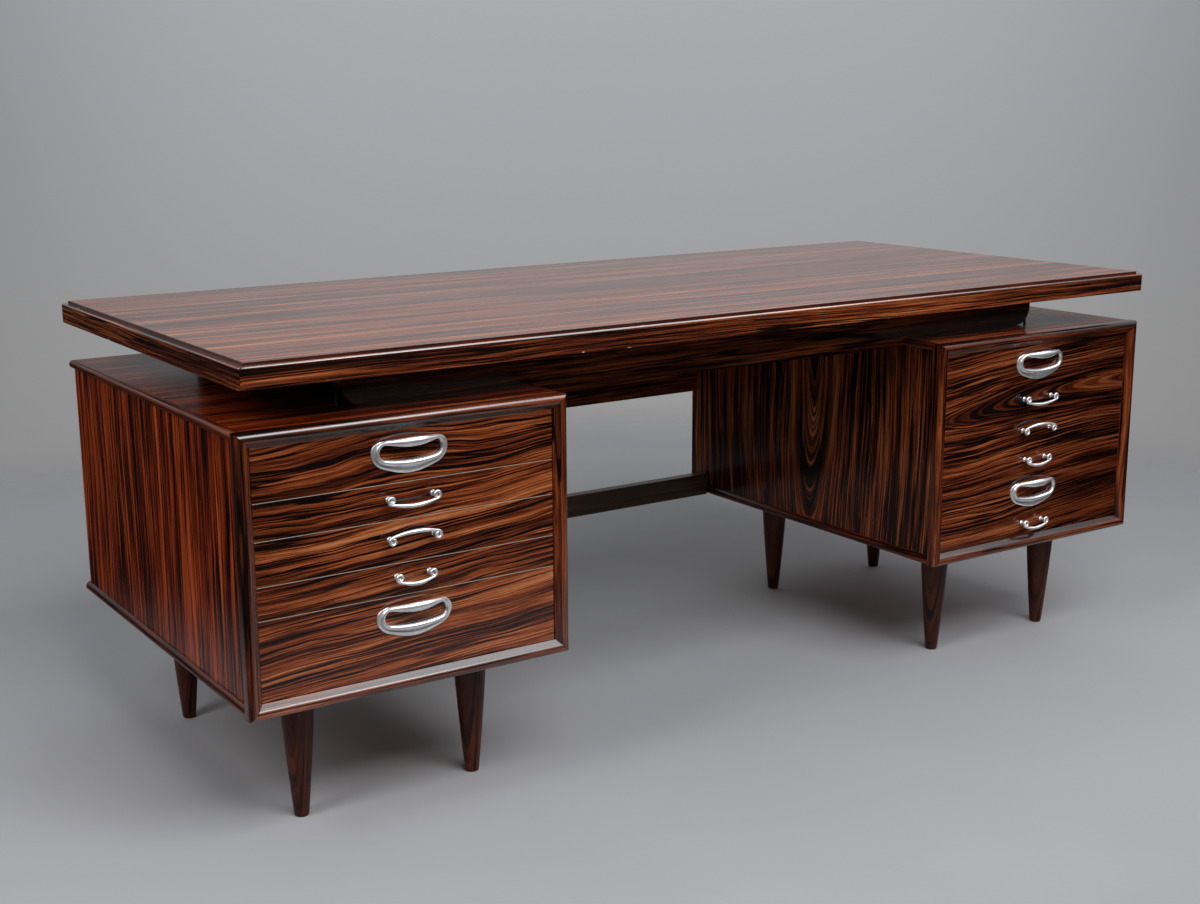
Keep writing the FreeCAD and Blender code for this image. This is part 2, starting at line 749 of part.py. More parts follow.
def drawer(name, opening, low, high, pull_height, kind):
    middle = f"{opening} + opening_width / 2"
    bottom_low = f"{low} + box_foot + bottom_height"
    blank = box(f"{name}_blank", f"{opening} + front_side_gap", "front_face", f"{low} + front_gap / 2",
                "opening_width - 2 * front_side_gap", "front_thickness", f"{high} - ({low}) - front_gap")
    inside = f"{opening} + box_side_gap + box_side_thickness - bottom_groove"
    inside_width = "opening_width - 2 * (box_side_gap + box_side_thickness - bottom_groove)"
    groove = box(f"{name}_front_groove", inside, "front_back - bottom_groove", bottom_low,
                 inside_width, "bottom_groove", "bottom_thickness")
    hole = "pull_screw_diameter + hole_clearance"
    tools = [groove]
    for side in (-1, 1):
        x = f"{middle} + {side} * ({screw_reach(kind)})"
        tools.append(rod(f"{name}_front_hole", hole, "front_thickness", x, "front_face", pull_height, "y"))
    sub_part(cut(f"{name}_front_piece", blank, tools), f"{name}_front")

    side_low = f"{low} + box_foot"
    side_height = f"{high} - ({low}) - box_foot - box_head"
    track_low = f"{groove_height(low, high)} - runner_height / 2 - runner_clearance"
    track_height = "runner_height + 2 * runner_clearance"
    sides = []
    for hand in ("left", "right"):
        if hand == "left":
            x = f"{opening} + box_side_gap"
            track_x, slot_x = x, f"{x} + box_side_thickness - bottom_groove"
        else:
            x = f"{opening} + opening_width - box_side_gap - box_side_thickness"
            track_x, slot_x = f"{x} + box_side_thickness - groove_depth", x
        plank = box(f"{name}_{hand}", x, "front_back", side_low,
                    "box_side_thickness", "box_length", side_height)
        track = box(f"{name}_track", track_x, "front_back", track_low,
                    "groove_depth", "box_length", track_height)
        slot = box(f"{name}_slot", slot_x, "front_back", bottom_low,
                   "bottom_groove", "box_length", "bottom_thickness")
        sides.append(cut(f"{name}_{hand}_side", plank, [track, slot]))
    bottom = box(f"{name}_bottom", inside, "front_back - bottom_groove", bottom_low,
                 inside_width, "box_length + bottom_groove", "bottom_thickness")
    back = box(f"{name}_back", f"{opening} + box_side_gap + box_side_thickness",
               "front_back + box_length - box_side_thickness", f"{bottom_low} + bottom_thickness",
               "opening_width - 2 * (box_side_gap + box_side_thickness)", "box_side_thickness",
               f"{high} - ({low}) - box_foot - box_head - bottom_height - bottom_thickness")
    sub_part(group(f"{name}_box_set", sides + [back, bottom]), f"{name}_box")
    pull(f"{name}_pull", kind, middle, pull_height)


def runners(hand, opening, drawers):
    """A batten on each side panel for every drawer, whose front end stops the drawer as it closes."""
    start = "front_back + runner_clearance"
    length = f"panel_back - back_thickness - ({start})"
    battens = []
    for low, high, _, _ in drawers:
        z = f"{groove_height(low, high)} - runner_height / 2"
        for x in (opening, f"{opening} + opening_width - runner_projection"):
            battens.append(box(f"{hand}_runner", x, start, z, "runner_projection", length, "runner_height"))
    sub_part(group(f"{hand}_runner_set", battens), f"{hand}_runners")


desktop()
carriers()
kneehole()
case()
SETS = (("left", "opening_left", LEFT_DRAWERS), ("right", "-opening_right", RIGHT_DRAWERS))
for hand, opening, drawers in SETS:
    runners(hand, opening, drawers)
    for number, limits in enumerate(drawers, start=1):
        drawer(f"{hand}_drawer_{number}", opening, *limits)

doc.recompute()
for thing in doc.Objects:
    if "Invalid" in thing.State or "Error" in thing.State:
        raise RuntimeError(f"{thing.Label} can't be built: {thing.State}")
os.makedirs("parts", exist_ok=True)
for piece in sub_parts:
    shape = piece.Shape
    if shape.isNull() or not shape.isValid() or not shape.Solids:
        raise RuntimeError(f"{piece.Label} has no valid solid")
    shape.exportStep(f"parts/{piece.Label}.step")
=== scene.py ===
"""Rosewood double pedestal desk: finishes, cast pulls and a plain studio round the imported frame."""
import math
from collections import namedtuple

import bmesh
import bpy
from mathutils import Matrix, Vector


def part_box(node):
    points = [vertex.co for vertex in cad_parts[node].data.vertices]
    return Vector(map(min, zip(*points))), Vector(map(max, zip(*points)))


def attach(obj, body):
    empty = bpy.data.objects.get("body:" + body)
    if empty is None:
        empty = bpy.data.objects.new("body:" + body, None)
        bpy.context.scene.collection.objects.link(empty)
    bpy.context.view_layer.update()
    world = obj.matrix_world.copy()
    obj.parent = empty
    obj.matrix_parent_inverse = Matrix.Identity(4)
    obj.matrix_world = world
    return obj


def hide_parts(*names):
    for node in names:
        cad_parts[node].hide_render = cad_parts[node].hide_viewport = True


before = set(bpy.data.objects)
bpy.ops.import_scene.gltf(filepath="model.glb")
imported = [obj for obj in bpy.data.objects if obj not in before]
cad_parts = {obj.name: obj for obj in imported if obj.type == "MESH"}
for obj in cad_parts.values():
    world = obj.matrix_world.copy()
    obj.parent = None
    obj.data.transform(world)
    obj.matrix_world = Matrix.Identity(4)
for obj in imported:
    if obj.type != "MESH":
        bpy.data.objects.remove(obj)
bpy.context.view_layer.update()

bl_info = {
    "name": "Double pedestal desk",
    "version": (1, 0, 0),
    "blender": (4, 5, 0),
    "location": "3D View > Sidebar > Desk",
    "description": "Finishes a rosewood desk, models its cast pulls and sets up a studio for it",
    "category": "Object",
}

MM = 0.001
LEFT_DRAWERS = [f"left_drawer_{number}" for number in range(1, 6)]
RIGHT_DRAWERS = [f"right_drawer_{number}" for number in range(1, 7)]
RING_DRAWERS = ("left_drawer_1", "left_drawer_5", "right_drawer_1", "right_drawer_5")
RISING_BOW_DRAWERS = ("left_drawer_3", "right_drawer_3")
HUNG_BOW_DRAWERS = ("left_drawer_2", "right_drawer_2")
SHORT_BOW_DRAWERS = ("left_drawer_4", "right_drawer_4", "right_drawer_6")


def span(node):
    """Length, depth and height of a CAD node."""
    low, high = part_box(node)
    return high - low


def middle(node):
    """Centre of a CAD node's box."""
    low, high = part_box(node)
    return (low + high) / 2


def colour(title, text, default):
    return bpy.props.FloatVectorProperty(
        name=title, description=text, default=default, subtype="COLOR", size=3, min=0, max=1)


def amount(title, text, default, unit="NONE"):
    return bpy.props.FloatProperty(name=title, description=text, default=default, min=0, unit=unit)


def length(title, text, default):
    return amount(title, text, default, "LENGTH")


def camera_angle(title, text, degrees):
    return bpy.props.FloatProperty(
        name=title, description=text, default=math.radians(degrees), subtype="ANGLE")


class RosewoodSettings(bpy.types.PropertyGroup):
    """Colours and lacquer of the veneers and solid wood."""
    ink: colour("Ink lines", "Nearly black growth lines", (0.0055, 0.0022, 0.002))
    heart: colour("Heartwood", "Dark brown between the lines", (0.1, 0.0185, 0.0055))
    flame: colour("Flame", "Orange brown of the open figure", (0.34, 0.08, 0.0205))
    pale: colour("Pale streaks", "Lightest streaks of the figure", (0.56, 0.21, 0.08))
    # Also the colour of the painted highlight along the top edges of the drawer fronts
    edge: colour("Worn edge", "Pale wood where lacquer is worn through", (0.62, 0.5, 0.4))
    drawer_wood: colour("Drawer wood", "Plain pale hardwood of the drawer boxes", (0.5, 0.31, 0.16))
    coat_roughness: bpy.props.FloatProperty(
        name="Coat roughness", description="Roughness of the lacquer", default=0.17, min=0, max=1,
        subtype="FACTOR")


class PullSettings(bpy.types.PropertyGroup):
    """Sizes and finish of the cast pulls."""
    ring_width: length("Ring width", "Width of a ring pull", span("left_drawer_1_pull").x)
    ring_height: length("Ring height", "Height of a ring pull", span("left_drawer_1_pull").z)
    ring_projection: length("Ring projection", "How far the grip stands off the drawer", 0.021)
    bow_width: length("Bow width", "Width of a bow pull", span("left_drawer_2_pull").x)
    short_bow_width: length("Short bow width", "Width of a short bow pull", span("left_drawer_4_pull").x)
    bow_standoff: length("Bow standoff", "Distance of the scrolls from the drawer", 0.0135)
    bow_rise: length("Bow rise", "Rise of the bow above its scrolls", 0.005)
    bow_reach: length("Bow reach", "How far the bow swells outward", 0.0018)
    scroll_diameter: length("Scroll diameter", "Outer size of a scroll", 0.0165)
    scroll_wire: length("Scroll wire", "Thickness of a scroll", 0.0044)
    metal: colour("Metal", "Colour of the polished plating", (0.87, 0.87, 0.875))


class StudioSettings(bpy.types.PropertyGroup):
    """Camera, floor and lamps."""
    camera_place: bpy.props.FloatVectorProperty(
        name="Camera place", description="Where the camera stands", size=3, unit="LENGTH",
        default=(-1.791, -2.559, 1.127))
    yaw: camera_angle("Yaw", "Turn of the view from +Y towards +X", 33.79)
    pitch: camera_angle("Pitch", "Tilt of the view above the horizon", -12.67)
    roll: camera_angle("Roll", "Turn of the picture about the view", -0.30)
    lens: amount("Lens", "Focal length on a 36 mm sensor, in millimetres", 49.38)
    floor: colour("Floor", "Colour of the studio floor", (0.43, 0.44, 0.46))
    overhead: amount("Overhead", "Power of the overhead softbox", 140, "POWER")
    front: amount("Front", "Power of the softbox in front", 8, "POWER")
    side: amount("Side", "Power of the softbox at the left", 41, "POWER")
    ambient: amount("Ambient", "Light from all round the studio", 0.04)
    backdrop: amount("Backdrop", "Light thrown back by the backdrop", 0.5)
    ceiling: amount("Ceiling", "Brightness of the ceiling in reflections", 1.6)
    strip: amount("Strip", "Brightness of a panel up on the right in reflections", 9)


class Strand:
    """A value in a material's node tree. Arithmetic on it adds Math nodes."""

    def __init__(self, tree, socket=None):
        self.tree = tree
        self.socket = socket

    def node(self, kind, output=0, settings=None, sockets=None):
        """Adds a node: first its settings, then the values or links of its sockets."""
        made = self.tree.nodes.new(kind)
        for name, setting in (settings or {}).items():
            if name == "stops":
                ends = made.color_ramp.elements
                ends[0].position, ends[1].position = setting[0][0], setting[-1][0]
                ends[0].color, ends[1].color = (*setting[0][1], 1), (*setting[-1][1], 1)
                for place, shade in setting[1:-1]:
                    ends.new(place).color = (*shade, 1)
            else:
                setattr(made, name, setting)
        for name, given in (sockets or {}).items():
            if isinstance(given, Strand):
                self.tree.links.new(given.socket, made.inputs[name])
            else:
                made.inputs[name].default_value = given
        return Strand(self.tree, None if output is None else made.outputs[output])

    def outlet(self, output):
        """Another output of the node that made this value."""
        return Strand(self.tree, self.socket.node.outputs[output])

    def math(self, operation, *values):
        return self.node("ShaderNodeMath", 0, {"operation": operation}, dict(enumerate(values)))

    def __add__(self, other):
        return self.math("ADD", self, other)

    def __radd__(self, other):
        return self.math("ADD", other, self)

    def __sub__(self, other):
        return self.math("SUBTRACT", self, other)

    def __rsub__(self, other):
        return self.math("SUBTRACT", other, self)

    def __mul__(self, other):
        return self.math("MULTIPLY", self, other)

    def __rmul__(self, other):
        return self.math("MULTIPLY", other, self)

    def __abs__(self):
        return self.math("ABSOLUTE", self)

    def __gt__(self, other):
        return self.math("GREATER_THAN", self, other)

    def __lt__(self, other):
        return self.math("LESS_THAN", self, other)

    def root(self):
        return self.math("SQRT", self)

    def larger(self, other):
        return self.math("MAXIMUM", self, other)

    def step(self, low, high, first=0.0, last=1.0):
        """Runs smoothly from first to last as the value goes from low to high."""
        sockets = {"Value": self, "From Min": low, "From Max": high, "To Min": first, "To Max": last}
        return self.node("ShaderNodeMapRange", 0, {"interpolation_type": "SMOOTHSTEP"}, sockets)

    def noise(self, place, detail=2.0, roughness=0.5):
        """Cloudy noise over a point, whose coordinates carry the scale."""
        sockets = {"Vector": self.point(*place), "Scale": 1.0, "Detail": detail, "Roughness": roughness}
        return self.node("ShaderNodeTexNoise", "Fac", {"noise_dimensions": "3D"}, sockets)

    def point(self, x, y, z):
        return self.node("ShaderNodeCombineXYZ", 0, None, {0: x, 1: y, 2: z})

    def tint(self, first, second, mode="MIX"):
        """One colour passing into another as this value goes from 0 to 1."""
        pair = [shade if isinstance(shade, Strand) else (*shade, 1) for shade in (first, second)]
        settings = {"data_type": "RGBA", "blend_type": mode}
        return self.node("ShaderNodeMix", 2, settings, {0: self, 6: pair[0], 7: pair[1]})

    def ramp(self, stops):
        return self.node("ShaderNodeValToRGB", 0, {"stops": stops}, {0: self})

    def bump(self, strength, distance):
        """Relief for a shader's normal, with this value as its height."""
        sockets = {"Strength": strength, "Distance": distance, "Height": self}
        return self.node("ShaderNodeBump", 0, None, sockets)


def socket_name(word):
    """The name of a shader's socket for a keyword, such as Coat IOR for coat_ior."""
    return word.replace("_", " ").title().replace("Ior", "IOR")


def new_finish(name, **constants):
    """A material, its Principled shader and the three coordinates of its surface."""
    material = bpy.data.materials.new(name)
    material.use_nodes = True
    tree = material.node_tree
    shader = tree.nodes["Principled BSDF"]
    for word, number in constants.items():
        shader.inputs[socket_name(word)].default_value = number
    place = Strand(tree).node("ShaderNodeTexCoord", "Object")
    x = place.node("ShaderNodeSeparateXYZ", 0, None, {0: place})
    return material, shader, (x, x.outlet(1), x.outlet(2))


def feed(shader, **strands):
    """Links values to the shader's sockets."""
    for word, strand in strands.items():
        strand.tree.links.new(strand.socket, shader.inputs[socket_name(word)])


# How a board was cut from its log: heart is where the pith runs across the board and depth how far
# it lies below the face, lean and tilt slant it along the grain, drift and ripple bend its lines.
# Bands and lines are how many broad and fine streaks lie in a metre across the grain. Contrast and
# lift set its light and dark, and a stretch below 1 draws the figure out along the grain.
Figure = namedtuple(
    "Figure", "seed heart depth lean tilt drift ripple bands lines contrast lift stretch",
    defaults=(0.02, 0.0, 0.02, 0.004, 40, 200, 1.0, 0.0, 1.0))


def grain_tone(along, across, deep, cut):
    """Light and dark of the growth lines, from 0 at the ink lines to 1 at the palest streaks."""
    run = along * cut.stretch
    # Distance from the pith, bent by slow drifts and short ripples
    flow = along.noise((run * 1.5, across * 3.2, deep * 3.2 + cut.seed), detail=1.5) - 0.5
    wave = along.noise((run * 6, across * 16, deep * 16 + cut.seed), detail=2) - 0.5
    side = across + deep * 0.6 - along * cut.tilt - cut.heart + flow * cut.drift + wave * cut.ripple
    below = along * cut.lean + cut.depth
    growth = (side * side + below * below).root()

    def streaks(pace, count, offset, detail, roughness=0.5):
        """Streaks that lie so many to a metre of growth and change at a pace along the grain."""
        return along.noise((run * pace, growth * count, cut.seed + offset), detail, roughness)

    band = streaks(1.6, cut.bands, 0.0, detail=2)
    line = streaks(4.0, cut.lines, 4.0, detail=3, roughness=0.6)
    hair = streaks(7.0, cut.lines * 2.8, 6.0, detail=3, roughness=0.6)
    fibre = along.noise((run * 14, across * 520, deep * 520), detail=2, roughness=0.6) - 0.5
    tone = (band - 0.5) * 0.75 + (line - 0.5) * 0.75 + (hair - 0.5) * 0.9
    # Black veins, which crowd together in places
    vein = streaks(1.6, cut.bands * 2.2, 9.0, detail=2.5, roughness=0.6)
    crowd = streaks(1.2, cut.bands * 0.5, 12.0, detail=1)
    ink = abs(vein - 0.5).step(0.012, 0.05, 0.55, 0.0) * crowd.step(0.36, 0.62, 0.3, 1.0)
    return (tone * 1.5 - ink) * cut.contrast + fibre * 0.3 + (0.60 + cut.lift)


def rosewood(name, grain, cut, touch=None, coat_weight=1.0, coat_roughness=None, coat_ior=1.46):
    """Lacquered rosewood whose growth lines follow the given grain directions.

    The touch changes the shade where a piece is jointed, stained or worn, and on the drawer fronts paints
    a highlight along the top edge."""
    wood = bpy.context.scene.desk_rosewood
    gloss = wood.coat_roughness if coat_roughness is None else coat_roughness
    material, shader, place = new_finish(
        name, specular_ior_level=0.02, coat_weight=coat_weight, coat_roughness=gloss, coat_ior=coat_ior)
    along, across, deep = grain(*place)
    tone = grain_tone(along, across, deep, cut)
    shade = tone.ramp([(0.2, wood.ink), (0.45, wood.heart), (0.72, wood.flame), (1.0, wood.pale)])
    pores = along.noise((along * 60, across * 1300, deep * 1300), detail=1)
    shade = pores.step(0.60, 0.70, 0.0, 0.5).tint(shade, wood.ink)
    if touch:
        shade = touch(shade, *place)
    haze = along.noise((along * 4, across * 7, deep * 7), detail=3)
    relief = pores.step(0.56, 0.72, 1.0, 0.0).bump(strength=0.05, distance=0.0002)
    feed(shader, base_color=shade, roughness=haze.step(0.3, 0.7, 0.38, 0.52), normal=relief)
    return material


def dress(node, material):
    """Puts a finish on a CAD node."""
    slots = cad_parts[node].data.materials
    slots.clear()
    slots.append(material)


def along_x(x, y, z):
    return x, y, z


def along_x_upright(x, y, z):
    return x, z, y


def along_y(x, y, z):
    return y, x, z


def along_z(x, y, z):
    return z, y, x


def along_z_round(x, y, z):
    return z, x, y


def strips(side, first, second):
    """Grain that turns from one pair of directions to another where side is 1."""
    return tuple(one + side * (two - one) for one, two in zip(first, second))


class DESK_OT_desktop(bpy.types.Operator):
    """Veneer of the raised field and solid lip of the desktop"""
    bl_idname = "desk.desktop"
    bl_label = "Finish desktop"

    def execute(self, context):
        wood = context.scene.desk_rosewood
        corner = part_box("desktop_panel")[1]

        def border(shade, x, y, z):
            """Darkens the rim of the raised field and the step below it."""
            reach = (abs(x) - corner.x).larger(abs(y) - corner.y)
            lines = x.noise((x * 9, y * 9, reach * 900), detail=1).tint(wood.ink, wood.heart)
            rim = reach.step(-0.0026, -0.0016)
            drop = (z - corner.z).step(-0.0012, -0.0004, 1, 0)
            return rim.larger(drop).tint(shade, lines)

        field = Figure(seed=2.4, heart=1.6, depth=0.4, drift=0.03, bands=56, lines=130, contrast=0.95,
                       lift=0.01, stretch=0.55)
        dress("desktop_panel", rosewood("desktop veneer", along_x, field, border, coat_weight=0.92))
        low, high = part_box("desktop_lipping")

        def mitre(x, y, z):
            return (abs(x) - high.x) - (abs(y) - high.y)

        def grain(x, y, z):
            return strips(mitre(x, y, z) > 0.0, (x, z, y), (y, z, x))

        def worn(shade, x, y, z):
            """Dark mitre joints, and lacquer chipped off the upper and lower edge."""
            joint = abs(mitre(x, y, z)).step(0.0002, 0.0012, 0.75, 0.0)
            shade = joint.tint(shade, wood.ink)
            upper = abs(z - (high.z - 0.001)).step(0.001, 0.003, 1.0, 0.0)
            lower = abs(z - (low.z + 0.0006)).step(0.0006, 0.0026, 1.0, 0.0)
            chips = x.noise((x * 60, y * 60, z * 140), detail=2).step(0.70, 0.74)
            return ((upper + lower) * chips * 0.8).tint(shade, wood.edge)

        lip = Figure(seed=5.1, heart=0.9, depth=0.1, bands=60, lines=220, lift=-0.12)
        finish = rosewood("lip wood", grain, lip, worn, coat_roughness=0.1, coat_ior=1.9)
        dress("desktop_lipping", finish)
        return {"FINISHED"}


class DESK_OT_cases(bpy.types.Operator):
    """Veneered boards and moulded face frames of both drawer cases"""
    bl_idname = "desk.cases"
    bl_label = "Finish cases"

    def frame_finish(self, hand, seed, gloss):
        """Solid moulding whose grain turns at its mitred corners."""
        wood = bpy.context.scene.desk_rosewood
        node = f"{hand}_face_frame"
        centre, half = middle(node), span(node) / 2

        def mitre(x, y, z):
            return (abs(x - centre.x) - half.x) - (abs(z - centre.z) - half.z)

        def grain(x, y, z):
            return strips(mitre(x, y, z) > 0.0, (x, z, y), (z, x, y))

        def joints(shade, x, y, z):
            joint = abs(mitre(x, y, z)).step(0.0002, 0.0011, 0.85, 0.0)
            return joint.tint(shade, wood.ink)

        cut = Figure(seed=seed, heart=3.0, depth=0.2, bands=60, contrast=0.8, lift=-0.2)
        return rosewood(f"{hand} frame wood", grain, cut, joints, coat_ior=gloss)

    def execute(self, context):
        outer = Figure(seed=1.7, heart=0.03, depth=-0.055, lean=0.065, drift=0.05, ripple=0.007, lines=220,
                       contrast=1.4, lift=-0.01)
        inner = Figure(seed=4.6, heart=0.21, depth=-0.085, lean=0.14, drift=0.07, ripple=0.009, bands=52,
                       lines=230, contrast=1.25, lift=-0.1)
        boards = Figure(seed=6.3, heart=2.5, depth=0.3, lean=0.03, drift=0.04, ripple=0.006, bands=44,
                        contrast=1.2, lift=0.08)

        def reddened(shade, x, y, z):
            """Old stain that has turned red, stronger in some places."""
            red_stain = (1.05, 0.54, 0.34)
            share = x.noise((x * 2, y * 2, z * 2), detail=1).step(0.1, 0.5)
            return share.tint(shade, red_stain, "MULTIPLY")

        side = rosewood("outer side veneer", along_z, outer, reddened, coat_weight=0.7)
        cheek = rosewood("inner side veneer", along_z, inner, coat_weight=0.5)
        centre, half = middle("right_case_top").x, span("right_case_top").x / 2
        strip_breadth = 0.014

        def lipping(x):
            """1 on the solid strips along both side edges of a board."""
            return abs(abs(x) - centre) > half - strip_breadth

        def edged(x, y, z):
            return strips(lipping(x), (x, y, z), (y, z, x))

        def stained(shade, x, y, z):
            dark_stain = (0.36, 0.44, 0.55)
            edge = lipping(x).tint(shade, dark_stain, "MULTIPLY")
            return reddened(edge, x, y, z)

        board = rosewood("case board veneer", edged, boards, stained, coat_weight=0.5)
        back = rosewood("case back veneer", along_z_round, inner._replace(seed=3.3, heart=0.6))
        # The left frame's lacquer shines more than the right one's
        for hand, seed, gloss in (("left", 8.2, 1.7), ("right", 9.6, 1.38)):
            dress(f"{hand}_outer_side", side)
            dress(f"{hand}_inner_side", cheek)
            dress(f"{hand}_case_top", board)
            dress(f"{hand}_case_bottom", board)
            dress(f"{hand}_case_back", back)
            dress(f"{hand}_face_frame", self.frame_finish(hand, seed, gloss))
        return {"FINISHED"}


class DESK_OT_carriers(bpy.types.Operator):
    """Beams and rails under the desktop, modesty board, stretcher, and their fasteners"""
    bl_idname = "desk.carriers"
    bl_label = "Finish beams and kneehole"

    def execute(self, context):
        plain = Figure(seed=3.9, heart=1.2, depth=0.3, drift=0.03, ripple=0.005, lines=150, contrast=0.8,
                       lift=-0.18)
        beam = rosewood("beam wood", along_x_upright, plain, coat_weight=0.8, coat_roughness=0.2)
        rail = rosewood("cross rail wood", along_y, plain._replace(seed=7.7), coat_weight=0.8,
                        coat_roughness=0.25)
        for node in ("front_beam", "rear_beam", "modesty_board"):
            dress(node, beam)

        def browned(shade, x, y, z):
            """The stretcher has faded to a plain brown in long streaks."""
            plain_brown = (0.052, 0.033, 0.018)
            streak = x.noise((x * 3, y * 40, z * 90), detail=2)
            return streak.step(0.3, 0.7, 0.45, 0.8).tint(shade, plain_brown)

        faded = rosewood("stretcher wood", along_x_upright, plain, browned, coat_weight=0.5,
                         coat_roughness=0.3)
        dress("stretcher", faded)
        for node in ("left_cross_rail", "right_cross_rail"):
            dress(node, rail)
        steel, shader, (x, y, z) = new_finish("browned screw steel", metallic=0.7)
        dark_steel, worn_steel = (0.018, 0.015, 0.013), (0.05, 0.04, 0.034)
        scuffs = x.noise((x * 900, y * 900, z * 120), detail=2)
        feed(shader, base_color=scuffs.step(0.35, 0.7).tint(dark_steel, worn_steel),
             roughness=scuffs.step(0.3, 0.7, 0.4, 0.58))
        for node in ("top_screws", "beam_screws", "leg_bolts"):
            dress(node, steel)
        return {"FINISHED"}


class DESK_OT_legs(bpy.types.Operator):
    """Turned tapered legs in plain dark wood"""
    bl_idname = "desk.legs"
    bl_label = "Finish legs"

    def execute(self, context):
        turned = Figure(seed=1.2, heart=3.0, depth=0.5, contrast=0.3, lift=-0.24)
        stain = rosewood("leg wood", along_z_round, turned, coat_weight=0.5, coat_roughness=0.3)
        for node in ("left_legs", "right_legs"):
            dress(node, stain)
        return {"FINISHED"}


class DESK_OT_drawers(bpy.types.Operator):
    """Drawer fronts cut from one sheet of veneer for each case, drawer boxes and runners"""
    bl_idname = "desk.drawers"
    bl_label = "Finish drawers"

    def front_finish(self, node, cut, painted_highlight, darkened):
        wood = bpy.context.scene.desk_rosewood
        low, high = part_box(node)

        def edges(shade, x, y, z):
            """Shade that deepens to the right, and a pale painted highlight along the top edge, in the
            colour of worn wood.
            """
            deep_brown = (0.42, 0.34, 0.32)
            shade = x.step(low.x, high.x, 0.0, darkened).tint(shade, deep_brown, "MULTIPLY")
            # Painted highlight: a pale line along the top edge of each front, standing in for the overhead
            # light caught by its rounded edge
            top = (high.z - z).step(0.0003, 0.0011, painted_highlight, 0.0)
            return top.tint(shade, wood.edge)

        return rosewood(f"{node} veneer", along_x_upright, cut, edges)

    def execute(self, context):
        wood = context.scene.desk_rosewood
        left = Figure(seed=11.4, heart=1.4, depth=0.3, tilt=0.04, drift=0.14, ripple=0.018, bands=44,
                      lines=230, contrast=1.08, lift=-0.03)
        right = Figure(seed=14.2, heart=0.235, depth=-0.066, lean=0.048, tilt=0.05, drift=0.07,
                       ripple=0.014, bands=60, lines=260, contrast=1.15, lift=-0.1)
        for drawer in LEFT_DRAWERS:
            node = f"{drawer}_front"
            dress(node, self.front_finish(node, left, painted_highlight=0.85, darkened=0.0))
        for drawer in RIGHT_DRAWERS:
            node = f"{drawer}_front"
            dress(node, self.front_finish(node, right, painted_highlight=0.0, darkened=1.0))
        plain, shader, (x, y, z) = new_finish("drawer wood")
        fibre = x.noise((x * 260, y * 7, z * 260), detail=3, roughness=0.6)
        rings = x.noise((x * 32 + fibre * 0.4, y * 1.1, z * 32), detail=2)
        pale = tuple(wood.drawer_wood)
        deeper = tuple(part * 0.62 for part in pale)
        shade = (rings * 0.7 + fibre * 0.3).step(0.32, 0.68).tint(deeper, pale)
        relief = fibre.bump(strength=0.1, distance=0.0003)
        feed(shader, base_color=shade, roughness=fibre.step(0.2, 0.8, 0.45, 0.62), normal=relief)
        for drawer in LEFT_DRAWERS + RIGHT_DRAWERS:
            dress(f"{drawer}_box", plain)
        for hand in ("left", "right"):
            dress(f"{hand}_runners", plain)
        return {"FINISHED"}


def chrome():
    """Polished plating with faint rubbing marks."""
    material = bpy.data.materials.get("polished plating")
    if material:
        return material
    material, shader, (x, y, z) = new_finish("polished plating", metallic=0.7)
    rubbed = x.noise((x * 90, y * 90, z * 90), detail=4, roughness=0.6)
    fine = x.noise((x * 700, y * 700, z * 2600), detail=2)
    bright = tuple(bpy.context.scene.desk_pulls.metal)
    dull = tuple(part * 0.82 for part in bright)
    feed(shader, base_color=rubbed.step(0.35, 0.7).tint(bright, dull),
         roughness=rubbed.step(0.3, 0.75, 0.14, 0.22) + fine * 0.03)
    return material


def start_fresh():
    if bpy.context.mode != "OBJECT":
        bpy.ops.object.mode_set(mode="OBJECT")
    bpy.ops.object.select_all(action="DESELECT")


def select(*pieces):
    """Selects pieces and nothing else, with the first one active."""
    start_fresh()
    for piece in pieces:
        piece.select_set(True)
    bpy.context.view_layer.objects.active = pieces[0]


def settle():
    """Moves the place of the new object into its mesh."""
    bpy.ops.object.transform_apply(location=True, rotation=True, scale=True)
    return bpy.context.object


def pick(piece, test):
    """Selects the vertices of the mesh in edit mode that pass a test, and returns their middle."""
    bpy.ops.mesh.select_all(action="DESELECT")
    mesh = bmesh.from_edit_mesh(piece.data)
    chosen = []
    for vertex in mesh.verts:
        if test(vertex):
            vertex.select_set(True)
            chosen.append(vertex.co.copy())
    mesh.select_flush(True)
    bmesh.update_edit_mesh(piece.data)
    if not chosen:
        raise RuntimeError(f"nothing to shape on {piece.name}")
    return sum(chosen, Vector()) / len(chosen)


def join(pieces, name):
    """One object made of several, with smooth faces that point outwards."""
    select(*pieces)
    bpy.ops.object.join()
    whole = bpy.context.object
    whole.name = name
    bpy.ops.object.mode_set(mode="EDIT")
    bpy.ops.mesh.select_all(action="SELECT")
    bpy.ops.mesh.remove_doubles(threshold=0.00002)
    bpy.ops.mesh.normals_make_consistent(inside=False)
    bpy.ops.object.mode_set(mode="OBJECT")
    bpy.ops.object.shade_smooth()
    return whole


def subdivide(piece, levels):
    smooth = piece.modifiers.new("smooth", "SUBSURF")
    smooth.levels = levels
    smooth.render_levels = levels
    select(piece)
    bpy.ops.object.modifier_apply(modifier=smooth.name)


